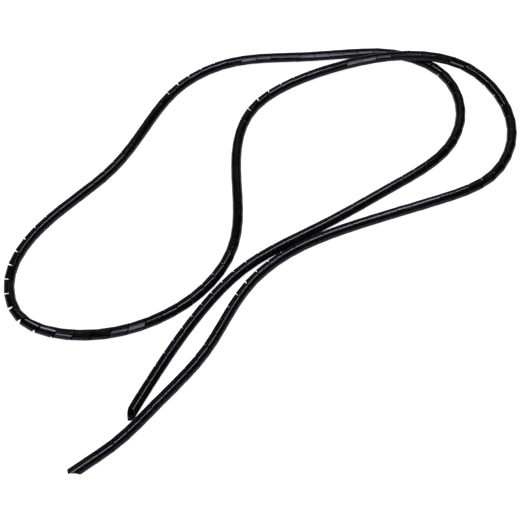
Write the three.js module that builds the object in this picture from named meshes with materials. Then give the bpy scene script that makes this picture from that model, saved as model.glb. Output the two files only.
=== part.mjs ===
// Spiral cable wrap: a plastic tube slit along one left-handed helix, laid in two loose loops on a level floor.
// Millimetres, +Z up. The floor is z = 0, and the origin is on it, under the middle of the part's outline.
// The loops' long way runs along X, and both cut ends point to -X.
import * as THREE from "three";

// The tube that the wrap is cut from
const OUTER_DIAMETER = 10;
const WALL = 1;

// The slit: one left-handed helix that leaves a strip of this width, measured along the tube
const STRIP_WIDTH = 14.98;
const SLIT_WIDTH = 0.3;
const FACETS_PER_TURN = 8;

// The two cut ends: the tube lies straight there, and the strip is cut across at a slant to the tube's length,
// which leaves it a pointed tip. The first tip's place round the tube is in degrees, up from the side that faces
// the near loop's outside, and its place along the tube is that of the strip's middle there.
const STRAIGHT_END = 24;
const CUT_SLANT = 35;
const TIP_WIDTH = 1.2;
const FIRST_TIP_ANGLE = 180;
const FIRST_TIP_PLACE = 0.9;
const LAST_TIP_PAST_END = 2;

// Way points of the tube's middle: x, y, and how far it is lifted off the floor.
// It runs from the inner cut end round the near loop, under its own way back, round the far loop and out.
// Where it crosses itself, the later stretch passes over the earlier one in a long low hump.
const WAY_POINTS = [
  [-229, -110, 0],
  [-97, -70, 0],
  [-49, -65, 0],
  [40.5, -80, 0],
  [126, -94.5, 0],
  [207, -97.5, 0],
  [257, -68.5, 0],
  [280, -20.5, 0],
  [266, 30, 0],
  [242, 56, 0],
  [198, 92.5, 0],
  [133.5, 142.5, 0],
  [73, 152.5, 0],
  [18.5, 138, 0],
  [-51, 115.5, 0],
  [-114, 110, 0],
  [-167.5, 101.5, 0],
  [-207, 79.5, 0],
  [-229, 36.5, 0],
  [-208.5, -11, 0],
  [-154.5, -47.5, 0],
  [-93, -56, 0],
  [-43, -42, 0],
  [41.5, 37, 0],
  [105, 76.5, 0],
  [169.5, 72, 0.55],
  [220.5, 49, 4.3],
  [263.5, 14.5, 9.7],
  [297, -40.5, 8.6],
  [293, -90, 3.2],
  [257.5, -135, 0.55],
  [200, -153, 0],
  [145, -137.5, 0],
  [60.5, -101, 0],
  [-11, -80.5, 0],
  [-59, -82, 0],
  [-138.5, -107.5, 0],
  [-204, -117.5, 0],
  [-254, -122, 0],
  [-298.5, -118, 0],
];

const OUTER_RADIUS = OUTER_DIAMETER / 2;
const INNER_RADIUS = OUTER_RADIUS - WALL;
const CLOSED_PITCH = STRIP_WIDTH + SLIT_WIDTH;
const UP = new THREE.Vector3(0, 0, 1);

// The smooth route of the tube's middle: a natural cubic spline through the way points, knotted by chord length.
class Route extends THREE.Curve {
  constructor(points) {
    super();
    this.points = points;
    this.knots = [0];
    for (let i = 1; i < points.length; i++) {
      this.knots.push(this.knots[i - 1] + points[i].distanceTo(points[i - 1]));
    }
    this.bends = this.bendsAtKnots();
    this.arcLengthDivisions = 4000;
  }

  // The spline's second derivative at each way point, by elimination and back substitution
  bendsAtKnots() {
    const { points, knots } = this;
    const bends = points.map(() => new THREE.Vector3());
    const carry = points.map(() => 0);
    for (let i = 1; i < points.length - 1; i++) {
      const before = knots[i] - knots[i - 1];
      const after = knots[i + 1] - knots[i];
      const pivot = 2 * (before + after) - before * carry[i - 1];
      carry[i] = after / pivot;
      bends[i]
        .addScaledVector(points[i + 1].clone().sub(points[i]), 6 / (after * pivot))
        .addScaledVector(points[i].clone().sub(points[i - 1]), -6 / (before * pivot))
        .addScaledVector(bends[i - 1], -before / pivot);
    }
    for (let i = points.length - 2; i > 0; i--) {
      bends[i].addScaledVector(bends[i + 1], -carry[i]);
    }
    return bends;
  }

  getPoint(t, target = new THREE.Vector3()) {
    const { points, knots, bends } = this;
    const last = knots.length - 1;
    const at = t * knots[last];
    let i = 0;
    while (i < last - 1 && knots[i + 1] < at) i++;
    const span = knots[i + 1] - knots[i];
    const b = (at - knots[i]) / span;
    const a = 1 - b;
    const curl = (span * span) / 6;
    return target
      .set(0, 0, 0)
      .addScaledVector(points[i], a)
      .addScaledVector(points[i + 1], b)
      .addScaledVector(bends[i], (a ** 3 - a) * curl)
      .addScaledVector(bends[i + 1], (b ** 3 - b) * curl);
  }
}

const route = new Route(
  WAY_POINTS.map(([x, y, lift]) => new THREE.Vector3(x, y, OUTER_RADIUS + lift)),
);
const LENGTH = route.getLength();

// The distance whose direction counts at a distance along the route: its two end stretches lie straight.
function bendingPart(distance) {
  return THREE.MathUtils.clamp(distance, STRAIGHT_END, LENGTH - STRAIGHT_END);
}

// The route's direction at a distance along it
function directionAt(distance) {
  return route.getTangentAt(bendingPart(distance) / LENGTH);
}

// The tube's middle at a distance along the route, straight on past either end
function middleAt(distance) {
  const near = bendingPart(distance);
  return route.getPointAt(near / LENGTH).addScaledVector(directionAt(near), distance - near);
}

// The pitch at a distance: in a bend the turns still touch on its inner side, so the slit gapes on its outer side.
function pitchAt(distance) {
  const before = directionAt(distance - CLOSED_PITCH / 2);
  const after = directionAt(distance + CLOSED_PITCH / 2);
  const bend = before.angleTo(after) / CLOSED_PITCH;
  return CLOSED_PITCH / (1 - OUTER_RADIUS * bend);
}

// One step of the strip: its four corners across wall and width. A turn stays straight along the tube.
function stripSection(distance, angle, rear, front) {
  const along = directionAt(distance);
  const side = new THREE.Vector3().crossVectors(along, UP).normalize();
  const top = new THREE.Vector3().crossVectors(side, along);
  const outwards = side.multiplyScalar(Math.cos(angle)).addScaledVector(top, Math.sin(angle));
  const middle = middleAt(distance);
  const corner = (radius, offset) =>
    middle.clone().addScaledVector(outwards, radius).addScaledVector(along, offset);
  return [
    corner(OUTER_RADIUS, rear),
    corner(OUTER_RADIUS, front),
    corner(INNER_RADIUS, front),
    corner(INNER_RADIUS, rear),
  ];
}

// The strip's steps from one tip to the other: from each tip it widens along the slanting cut to its full width.
function stripSections() {
  const steps = [];
  let distance = FIRST_TIP_PLACE;
  while (distance < LENGTH + LAST_TIP_PAST_END) {
    steps.push(distance);
    distance += pitchAt(distance) / FACETS_PER_TURN;
  }
  const stepAngle = (2 * Math.PI) / FACETS_PER_TURN;
  const cutLean = (OUTER_RADIUS * stepAngle) / Math.tan(THREE.MathUtils.degToRad(CUT_SLANT));
  const widening = cutLean + CLOSED_PITCH / FACETS_PER_TURN;
  const half = STRIP_WIDTH / 2;
  return steps.map((place, i) => {
    const angle = THREE.MathUtils.degToRad(FIRST_TIP_ANGLE) + i * stepAngle;
    const rear = Math.max(-half, half - TIP_WIDTH - i * widening);
    const front = Math.min(half, TIP_WIDTH + (steps.length - 1 - i) * widening - half);
    return stripSection(place, angle, rear, front);
  });
}

// The strip as one closed solid
function stripGeometry() {
  const sections = stripSections();
  const corners = sections[0].length;
  const indices = [0, 2, 1, 0, 3, 2];
  for (let i = 0; i < sections.length - 1; i++) {
    for (let j = 0; j < corners; j++) {
      const a = i * corners + j;
      const b = i * corners + ((j + 1) % corners);
      indices.push(a, b, b + corners, a, b + corners, a + corners);
    }
  }
  const end = (sections.length - 1) * corners;
  indices.push(end, end + 1, end + 2, end, end + 2, end + 3);
  const geometry = new THREE.BufferGeometry().setFromPoints(sections.flat());
  geometry.setIndex(indices);
  geometry.computeVertexNormals();
  return geometry;
}

// Black polyethylene, extruded and glossy
const blackPolyethylene = new THREE.MeshStandardMaterial({
  color: 0x131316,
  roughness: 0.3,
  metalness: 0,
});

const wrap = new THREE.Mesh(stripGeometry(), blackPolyethylene);
wrap.name = "spiral_wrap";

const part = new THREE.Group();
part.add(wrap);

export default part;
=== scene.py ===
import math

import bmesh
import bpy
import numpy as np
from mathutils import Matrix, Vector, noise


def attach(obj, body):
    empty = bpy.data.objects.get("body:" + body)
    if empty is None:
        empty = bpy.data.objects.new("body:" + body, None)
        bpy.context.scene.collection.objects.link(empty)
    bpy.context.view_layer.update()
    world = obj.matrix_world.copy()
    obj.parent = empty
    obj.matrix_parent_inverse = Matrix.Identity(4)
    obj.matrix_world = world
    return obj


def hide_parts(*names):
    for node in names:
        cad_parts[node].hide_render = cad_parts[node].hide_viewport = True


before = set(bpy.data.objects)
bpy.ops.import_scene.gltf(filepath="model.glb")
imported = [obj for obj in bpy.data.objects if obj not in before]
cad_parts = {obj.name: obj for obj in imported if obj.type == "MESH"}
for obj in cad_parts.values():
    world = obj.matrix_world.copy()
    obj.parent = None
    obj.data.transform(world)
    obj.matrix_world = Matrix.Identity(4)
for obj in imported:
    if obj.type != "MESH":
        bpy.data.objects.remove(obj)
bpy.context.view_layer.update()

# ---- Camera ----
# The photograph looks down on the loops along the diagonal between their long way and their width.
MM = 0.001
IMAGE_SIDE = 520
FOCAL_PIXELS = 1376.63
SENSOR_WIDTH = 36
CAMERA_PLACE = Vector((-598.3, -635.9, 996.4)) * MM
CAMERA_TARGET = Vector((-27.77, -65.33, 0)) * MM

camera_data = bpy.data.cameras.new("photo_camera")
camera_data.sensor_width = SENSOR_WIDTH
camera_data.lens = FOCAL_PIXELS * SENSOR_WIDTH / IMAGE_SIDE
camera_data.clip_start = 0.05
camera = bpy.data.objects.new("photo_camera", camera_data)
camera.location = CAMERA_PLACE
camera.rotation_euler = (CAMERA_TARGET - CAMERA_PLACE).to_track_quat("-Z", "Y").to_euler()
bpy.context.scene.collection.objects.link(camera)
bpy.context.scene.camera = camera


# ---- Spiral wrap ----
# One length of black extruded polyethylene tube, slit right through its wall by a turning knife along a
# left-handed helix, which leaves a broad strip whose edges just meet. Both ends are cut across the strip at a
# slant, into pointed tips. It is fixed to nothing and lies loose on the floor in two loops.
UP = (0, 0, 1)
OUTER_RADIUS = 5 * MM
STRAIGHT_END = 24 * MM
ROUTE_STEPS = 8000
# The tube's middle follows one smooth curve over these points of the floor, lifted by the third number: from
# the inner cut end round the near loop, under its own way back, round the far loop and out to the outer end.
WAY_POINTS = [
    (-0.229, -0.110, 0),
    (-0.097, -0.070, 0),
    (-0.049, -0.065, 0),
    (0.0405, -0.080, 0),
    (0.126, -0.0945, 0),
    (0.207, -0.0975, 0),
    (0.257, -0.0685, 0),
    (0.280, -0.0205, 0),
    (0.266, 0.030, 0),
    (0.242, 0.056, 0),
    (0.198, 0.0925, 0),
    (0.1335, 0.1425, 0),
    (0.073, 0.1525, 0),
    (0.0185, 0.138, 0),
    (-0.051, 0.1155, 0),
    (-0.114, 0.110, 0),
    (-0.1675, 0.1015, 0),
    (-0.207, 0.0795, 0),
    (-0.229, 0.0365, 0),
    (-0.2085, -0.011, 0),
    (-0.1545, -0.0475, 0),
    (-0.093, -0.056, 0),
    (-0.043, -0.042, 0),
    (0.0415, 0.037, 0),
    (0.105, 0.0765, 0),
    (0.1695, 0.072, 0.00055),
    (0.2205, 0.049, 0.0043),
    (0.2635, 0.0145, 0.0097),
    (0.297, -0.0405, 0.0086),
    (0.293, -0.090, 0.0032),
    (0.2575, -0.135, 0.00055),
    (0.200, -0.153, 0),
    (0.145, -0.1375, 0),
    (0.0605, -0.101, 0),
    (-0.011, -0.0805, 0),
    (-0.059, -0.082, 0),
    (-0.1385, -0.1075, 0),
    (-0.204, -0.1175, 0),
    (-0.254, -0.122, 0),
    (-0.2985, -0.118, 0),
]


def smooth_route(points, steps):
    """A natural cubic spline through the points, knotted by chord length, at evenly spread knot values."""
    points = np.array(points)
    chords = np.linalg.norm(np.diff(points, axis=0), axis=1)
    knots = np.concatenate([[0], np.cumsum(chords)])
    count = len(points)
    system = np.eye(count)
    pulls = np.zeros((count, 3))
    for i in range(1, count - 1):
        system[i, i - 1 : i + 2] = chords[i - 1], 2 * (chords[i - 1] + chords[i]), chords[i]
        after = (points[i + 1] - points[i]) / chords[i]
        before = (points[i] - points[i - 1]) / chords[i - 1]
        pulls[i] = 6 * (after - before)
    bends = np.linalg.solve(system, pulls)
    at = np.linspace(0, knots[-1], steps + 1)
    i = np.clip(np.searchsorted(knots, at, side="right") - 1, 0, count - 2)
    b = ((at - knots[i]) / chords[i])[:, None]
    a = 1 - b
    curl = (chords[i] ** 2 / 6)[:, None]
    return a * points[i] + b * points[i + 1] + ((a**3 - a) * bends[i] + (b**3 - b) * bends[i + 1]) * curl


route = smooth_route([(x, y, OUTER_RADIUS + lift) for x, y, lift in WAY_POINTS], ROUTE_STEPS)
route_distances = np.concatenate([[0], np.cumsum(np.linalg.norm(np.diff(route, axis=0), axis=1))])
route_length = float(route_distances[-1])
route_directions = np.gradient(route, route_distances, axis=0)


def on_route(values, distances):
    """The route's places or directions at distances along it."""
    return np.stack([np.interp(distances, route_distances, column) for column in values.T], axis=-1)


def directions_at(distances):
    """The way that the tube points at distances along it: its two end stretches lie straight."""
    bending = np.clip(distances, STRAIGHT_END, route_length - STRAIGHT_END)
    directions = on_route(route_directions, bending)
    return directions / np.linalg.norm(directions, axis=-1, keepdims=True)


def middles_at(distances):
    """The tube's middle at distances along it, straight on past either end."""
    bending = np.clip(distances, STRAIGHT_END, route_length - STRAIGHT_END)
    return on_route(route, bending) + directions_at(bending) * (distances - bending)[:, None]


# The strip, and the rounding that the knife leaves on its edges
WALL = 1 * MM
STRIP_WIDTH = 14.98 * MM
SLIT_WIDTH = 0.3 * MM
CLOSED_PITCH = STRIP_WIDTH + SLIT_WIDTH
EDGE_ROUNDING = 0.08 * MM
EDGE_SEGMENTS = 2
OUTER_SIDE_CUTS = 3
SAME_POINT = EDGE_ROUNDING / 20
STEPS_PER_TURN = 32
CORNER_ANGLE = math.radians(15)
# The slanting cuts: each widens the strip from a tip. The last tip comes at a whole facet of the CAD solid.
CUT_SLANT = math.radians(35)
TIP_WIDTH = 1.2 * MM
FIRST_TIP_ANGLE = math.radians(180)
FIRST_TIP_PLACE = 0.9 * MM
LAST_TIP_PAST_END = 2 * MM
FACETS_PER_TURN = 8
# The knife's pull leaves each turn a little askew, with its leading edge a little proud of the next turn.
ASKEW = math.radians(1.4)
ASKEW_TURNS = 1.3
ASKEW_SEED = 7
TUCK = 0.1 * MM


def turn_pitches(distances):
    """The pitch at distances. In a bend the turns touch on the inner side, and the slit gapes outside."""
    before = directions_at(distances - CLOSED_PITCH / 2)
    after = directions_at(distances + CLOSED_PITCH / 2)
    bends = np.linalg.norm(after - before, axis=-1) / CLOSED_PITCH
    return CLOSED_PITCH / (1 - OUTER_RADIUS * bends)


# Where each turn of the helix lies along the route, from one tip to the other.
distances = np.linspace(FIRST_TIP_PLACE, route_length + CLOSED_PITCH, ROUTE_STEPS)
slopes = 1 / turn_pitches(distances)
turn_counts = np.concatenate([[0], np.cumsum(np.diff(distances) * (slopes[1:] + slopes[:-1]) / 2)])
last_tip = float(np.interp(route_length + LAST_TIP_PAST_END, distances, turn_counts))
last_tip = math.floor(last_tip * FACETS_PER_TURN) / FACETS_PER_TURN

# The strip's section, with its corners rounded and its outer side in short lengths.
bm = bmesh.new()
bmesh.ops.create_grid(bm, x_segments=1, y_segments=1, size=0.5)
bmesh.ops.scale(bm, vec=(WALL, STRIP_WIDTH, 1), verts=bm.verts)
bmesh.ops.bevel(
    bm,
    geom=bm.verts[:],
    offset=EDGE_ROUNDING,
    affect="VERTICES",
    segments=EDGE_SEGMENTS,
    profile=0.5,
    material=-1,
)
outer_sides = [edge for edge in bm.edges if all(v.co.x > WALL / 2 - SAME_POINT for v in edge.verts)]
bmesh.ops.subdivide_edges(bm, edges=outer_sides, cuts=OUTER_SIDE_CUTS)
bmesh.ops.delete(bm, geom=bm.faces[:], context="FACES_ONLY")

# The knife's turning cut on the straight tube: the section is swept round one turn of a left-handed helix,
# and the turns follow one another from there.
bmesh.ops.rotate(bm, matrix=Matrix.Rotation(math.pi / 2, 3, "X"), verts=bm.verts)
bmesh.ops.translate(bm, vec=(OUTER_RADIUS - WALL / 2, 0, 0), verts=bm.verts)
first_angle = math.pi - FIRST_TIP_ANGLE
bmesh.ops.rotate(bm, matrix=Matrix.Rotation(first_angle, 3, "Z"), verts=bm.verts)
bmesh.ops.spin(
    bm,
    geom=bm.verts[:] + bm.edges[:],
    cent=(0, 0, 0),
    axis=(0, 0, 1),
    dvec=(0, 0, CLOSED_PITCH / STEPS_PER_TURN),
    angle=-math.tau,
    steps=STEPS_PER_TURN,
)
strip_mesh = bpy.data.meshes.new("spiral_strip")
bm.to_mesh(strip_mesh)
bm.free()
strip = bpy.data.objects.new("spiral_strip", strip_mesh)
bpy.context.scene.collection.objects.link(strip)
repeat = strip.modifiers.new("turns", "ARRAY")
repeat.count = math.ceil(turn_counts[-1])
repeat.use_relative_offset = False
repeat.use_constant_offset = True
repeat.constant_offset_displace = (0, 0, CLOSED_PITCH)
repeat.use_merge_vertices = True
repeat.merge_threshold = SAME_POINT
bm = bmesh.new()
bm.from_object(strip, bpy.context.evaluated_depsgraph_get())
strip.modifiers.clear()


def turns_at(points):
    """How many turns each point of the straight tube is from the first tip, and how far off its middle."""
    falls = (first_angle - np.arctan2(points[:, 1], points[:, 0])) % math.tau / math.tau
    turns = np.round(points[:, 2] / CLOSED_PITCH - falls) + falls
    return turns, points[:, 2] - turns * CLOSED_PITCH


# The strip ends at its last tip, and both of its ends are closed.
bm.verts.ensure_lookup_table()
turns, _ = turns_at(np.array([v.co for v in bm.verts]))
past_tip = turns > last_tip + 0.5 / STEPS_PER_TURN
bmesh.ops.delete(bm, geom=[bm.verts[i] for i in np.flatnonzero(past_tip)], context="VERTS")
rim = [edge for edge in bm.edges if edge.is_boundary]
bmesh.ops.holes_fill(bm, edges=rim, sides=0)
bmesh.ops.triangulate(bm, faces=[face for face in bm.faces if len(face.verts) > 4])
bmesh.ops.recalc_face_normals(bm, faces=bm.faces)
bm.to_mesh(strip_mesh)
bm.free()

# The slanting cuts are made: from each tip the strip widens to its full width.
straight = np.empty(len(strip_mesh.vertices) * 3)
strip_mesh.vertices.foreach_get("co", straight)
straight = straight.reshape(-1, 3)
point_turns, offsets = turns_at(straight)
widening = OUTER_RADIUS * math.tau / math.tan(CUT_SLANT) + CLOSED_PITCH
rear = STRIP_WIDTH / 2 - TIP_WIDTH - point_turns * widening
front = TIP_WIDTH - STRIP_WIDTH / 2 + (last_tip - point_turns) * widening
straight[:, 2] += np.clip(offsets, rear, front) - offsets
offsets = np.clip(offsets, rear, front)

# The strip is then laid: each point keeps its angle, and its turn goes where the route has it.
point_distances = np.interp(point_turns, turn_counts, distances)
along = directions_at(point_distances)
left = np.cross(UP, along)
left /= np.linalg.norm(left, axis=1, keepdims=True)
top = np.cross(along, left)
sway = np.array([noise.noise(Vector((turn / ASKEW_TURNS, 0, 0))) for turn in point_turns])
dip = np.array([noise.noise(Vector((turn / ASKEW_TURNS, ASKEW_SEED, 0))) for turn in point_turns])
askew_along = along + ASKEW * (left * sway[:, None] + top * dip[:, None])
tuck = 1 - TUCK / OUTER_RADIUS * (0.5 - offsets / STRIP_WIDTH)
across = (left * straight[:, [0]] + top * straight[:, [1]]) * tuck[:, None]
laid = middles_at(point_distances) + across + askew_along * offsets[:, None]
laid[:, 2] = np.maximum(laid[:, 2], 0)
strip_mesh.vertices.foreach_set("co", laid.ravel())
on_tube = strip_mesh.attributes.new("on_tube", "FLOAT_VECTOR", "POINT")
on_tube.data.foreach_set("vector", straight.ravel())
across_strip = strip_mesh.attributes.new("across_strip", "FLOAT", "POINT")
across_strip.data.foreach_set("value", offsets / STRIP_WIDTH)
bm = bmesh.new()
bm.from_mesh(strip_mesh)
bmesh.ops.dissolve_degenerate(bm, dist=SAME_POINT, edges=bm.edges)
bmesh.ops.recalc_face_normals(bm, faces=bm.faces)
bm.to_mesh(strip_mesh)
bm.free()
strip_mesh.shade_smooth()
strip_mesh.set_sharp_from_angle(angle=CORNER_ANGLE)


def linear(colour):
    """An sRGB hex colour as the linear values that a shader takes."""
    parts = [int(colour[i : i + 2], 16) / 255 for i in (1, 3, 5)]
    return (*[c / 12.92 if c <= 0.04045 else ((c + 0.055) / 1.055) ** 2.4 for c in parts], 1)


def add_node(material, kind, settings=None, links=None):
    """Adds a node. Its settings are attributes or, where it has such an input, that input's value."""
    node = material.node_tree.nodes.new(kind)
    for name, value in (settings or {}).items():
        if isinstance(name, int) or name in node.inputs:
            node.inputs[name].default_value = value
        else:
            setattr(node, name, value)
    for name, source in (links or {}).items():
        material.node_tree.links.new(source, node.inputs[name])
    return node


# Black polyethylene, extruded: the die leaves it glossy, with faint lines along the tube and a violet cast in
# its highlights. Handling has dulled it in patches, and the walls that the knife cut are matte.
BLACK = "#050507"
WORN_BLACK = "#0C0C10"
CUT_BLACK = "#0A0A0D"
VIOLET_SHEEN = "#D6D2EC"
POLYETHYLENE_IOR = 1.51
EXTRUDED_ROUGHNESS = 0.1
WORN_ROUGHNESS = 0.19
CUT_ROUGHNESS = 0.6
# Real die lines are finer than the render can show, so these lie about 0.4 mm apart.
DIE_LINES_PER_METRE = 2600
DIE_LINE_DETAIL = 1
DIE_LINE_STRETCH = 0.012
DIE_LINE_HEIGHT = 0.003 * MM
# Worn patches about 22 mm across, with ragged edges
WORN_PATCHES_PER_METRE = 45
WEAR_DETAIL = 4
WEAR_RAGGEDNESS = 0.65
WEAR_STARTS = 0.42
WEAR_FULL = 0.68
# The cut walls start in the last quarter of the rounding: how far that is from the strip's middle, in widths
CUT_WALL = 0.5 - EDGE_ROUNDING / STRIP_WIDTH / 4

black_polyethylene = bpy.data.materials.new("black_polyethylene_extruded")
black_polyethylene.use_nodes = True
shader = black_polyethylene.node_tree.nodes["Principled BSDF"]
shader.inputs["IOR"].default_value = POLYETHYLENE_IOR
shader.inputs["Specular Tint"].default_value = linear(VIOLET_SHEEN)
tube_place = add_node(
    black_polyethylene, "ShaderNodeAttribute", {"attribute_name": "on_tube"}
).outputs["Vector"]
strip_place = add_node(
    black_polyethylene, "ShaderNodeAttribute", {"attribute_name": "across_strip"}
).outputs["Fac"]

# Die lines: a noise drawn out along the tube.
drawn_out = add_node(
    black_polyethylene,
    "ShaderNodeVectorMath",
    {"operation": "MULTIPLY", 1: (1, 1, DIE_LINE_STRETCH)},
    {0: tube_place},
)
die_lines = add_node(
    black_polyethylene,
    "ShaderNodeTexNoise",
    {"Scale": DIE_LINES_PER_METRE, "Detail": DIE_LINE_DETAIL},
    {"Vector": drawn_out.outputs[0]},
)
die_bump = add_node(
    black_polyethylene,
    "ShaderNodeBump",
    {"Distance": DIE_LINE_HEIGHT, "Strength": 1},
    {"Height": die_lines.outputs[0]},
)
black_polyethylene.node_tree.links.new(die_bump.outputs[0], shader.inputs["Normal"])

# Wear makes the black greyer and rougher, and so does the knife on the cut walls.
wear = add_node(
    black_polyethylene,
    "ShaderNodeTexNoise",
    {"Scale": WORN_PATCHES_PER_METRE, "Detail": WEAR_DETAIL, "Roughness": WEAR_RAGGEDNESS},
    {"Vector": tube_place},
)
worn = add_node(
    black_polyethylene,
    "ShaderNodeMapRange",
    {"From Min": WEAR_STARTS, "From Max": WEAR_FULL},
    {"Value": wear.outputs[0]},
)
from_middle = add_node(black_polyethylene, "ShaderNodeMath", {"operation": "ABSOLUTE"}, {0: strip_place})
cut = add_node(
    black_polyethylene,
    "ShaderNodeMath",
    {"operation": "GREATER_THAN", 1: CUT_WALL},
    {0: from_middle.outputs[0]},
)
extruded_colour = add_node(
    black_polyethylene,
    "ShaderNodeMix",
    {"data_type": "RGBA", 6: linear(BLACK), 7: linear(WORN_BLACK)},
    {0: worn.outputs[0]},
)
colour = add_node(
    black_polyethylene,
    "ShaderNodeMix",
    {"data_type": "RGBA", 7: linear(CUT_BLACK)},
    {0: cut.outputs[0], 6: extruded_colour.outputs[2]},
)
extruded_roughness = add_node(
    black_polyethylene,
    "ShaderNodeMix",
    {2: EXTRUDED_ROUGHNESS, 3: WORN_ROUGHNESS},
    {0: worn.outputs[0]},
)
roughness = add_node(
    black_polyethylene,
    "ShaderNodeMix",
    {3: CUT_ROUGHNESS},
    {0: cut.outputs[0], 2: extruded_roughness.outputs[0]},
)
black_polyethylene.node_tree.links.new(colour.outputs[2], shader.inputs["Base Color"])
black_polyethylene.node_tree.links.new(roughness.outputs[0], shader.inputs["Roughness"])
strip_mesh.materials.append(black_polyethylene)

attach(strip, "root")
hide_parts("spiral_wrap")

# ---- Floor ----
# The plain matte white sheet that the wrap lies on. It is lit from below, so the camera sees it nearly white.
FLOOR_SIDE = 12
WHITE = "#FFFFFF"
SHEET_GREY = "#C8C8C8"
SHEET_ROUGHNESS = 0.9
LIGHT_FROM_BELOW = 0.85
bm = bmesh.new()
bmesh.ops.create_grid(bm, x_segments=1, y_segments=1, size=FLOOR_SIDE / 2)
floor_mesh = bpy.data.meshes.new("floor")
bm.to_mesh(floor_mesh)
bm.free()
floor = bpy.data.objects.new("floor", floor_mesh)
bpy.context.scene.collection.objects.link(floor)
pale_floor = bpy.data.materials.new("pale_floor")
pale_floor.use_nodes = True
floor_shader = pale_floor.node_tree.nodes["Principled BSDF"]
floor_shader.inputs["Base Color"].default_value = linear(SHEET_GREY)
floor_shader.inputs["Roughness"].default_value = SHEET_ROUGHNESS
floor_shader.inputs["Specular IOR Level"].default_value = 0
floor_shader.inputs["Emission Color"].default_value = linear(WHITE)
seen = add_node(pale_floor, "ShaderNodeLightPath")
lit_from_below = add_node(
    pale_floor,
    "ShaderNodeMath",
    {"operation": "MULTIPLY", 1: LIGHT_FROM_BELOW},
    {0: seen.outputs["Is Camera Ray"]},
)
pale_floor.node_tree.links.new(lit_from_below.outputs[0], floor_shader.inputs["Emission Strength"])
floor_mesh.materials.append(pale_floor)

# ---- Studio light ----
# Two long strip lamps hang over the loops to the left and the right, along the way the camera looks. Each
# draws one thin line on every strand that crosses that way, and lights up whole turns where a strand lies
# across it. A far panel and three softboxes fill in the rest.
ROOM_LIGHT = 0.03
HANGING_HEIGHT = 2.2
SOFTBOX_DISTANCE = 2
# Name, metres to the right of the loops' middle, metres beyond it, width and length in metres, radiance
HANGING_LAMPS = [
    ("right_strip_lamp", 0.8, 0.35, 0.2, 1.9, 15),
    ("left_strip_lamp", -0.85, 0.35, 0.2, 1.9, 15),
    ("far_panel", 0, 3.3, 3.2, 2.4, 0.3),
]
# Name, degrees to the right of the camera's side, degrees up, width and length in metres, radiance
SOFTBOXES = [
    ("front_right_softbox", 20, 42, 0.38, 1.9, 6),
    ("front_left_softbox", -30, 26, 0.4, 0.9, 6),
    ("top_softbox", 60, 80, 0.3, 0.4, 6),
]
bpy.context.scene.view_settings.view_transform = "Standard"
world = bpy.data.worlds.new("studio")
world.use_nodes = True
world.node_tree.nodes["Background"].inputs["Color"].default_value = linear(WHITE)
world.node_tree.nodes["Background"].inputs["Strength"].default_value = ROOM_LIGHT
bpy.context.scene.world = world


def add_lamp(name, place, turn, width, length, radiance):
    """A rectangular lamp, which gives its radiance in watts per square metre and steradian."""
    data = bpy.data.lights.new(name, "AREA")
    data.shape = "RECTANGLE"
    data.size = width
    data.size_y = length
    data.energy = radiance * width * length * math.pi
    lamp = bpy.data.objects.new(name, data)
    lamp.location = place
    lamp.rotation_euler = turn
    bpy.context.scene.collection.objects.link(lamp)


look = (CAMERA_TARGET - CAMERA_PLACE) * Vector((1, 1, 0))
look.normalize()
right = look.cross(Vector(UP))

# The hanging lamps face straight down, with their length along the way the camera looks.
along_look = (0, 0, math.atan2(look.y, look.x) - math.pi / 2)
for name, to_right, beyond, width, length, radiance in HANGING_LAMPS:
    place = right * to_right + look * beyond + Vector(UP) * HANGING_HEIGHT
    add_lamp(name, place, along_look, width, length, radiance)

# The softboxes point at the middle of the loops.
for name, azimuth, elevation, width, length, radiance in SOFTBOXES:
    around = math.radians(azimuth)
    up = math.radians(elevation)
    level = right * math.sin(around) - look * math.cos(around)
    place = SOFTBOX_DISTANCE * (level * math.cos(up) + Vector(UP) * math.sin(up))
    add_lamp(name, place, (-place).to_track_quat("-Z", "Y").to_euler(), width, length, radiance)
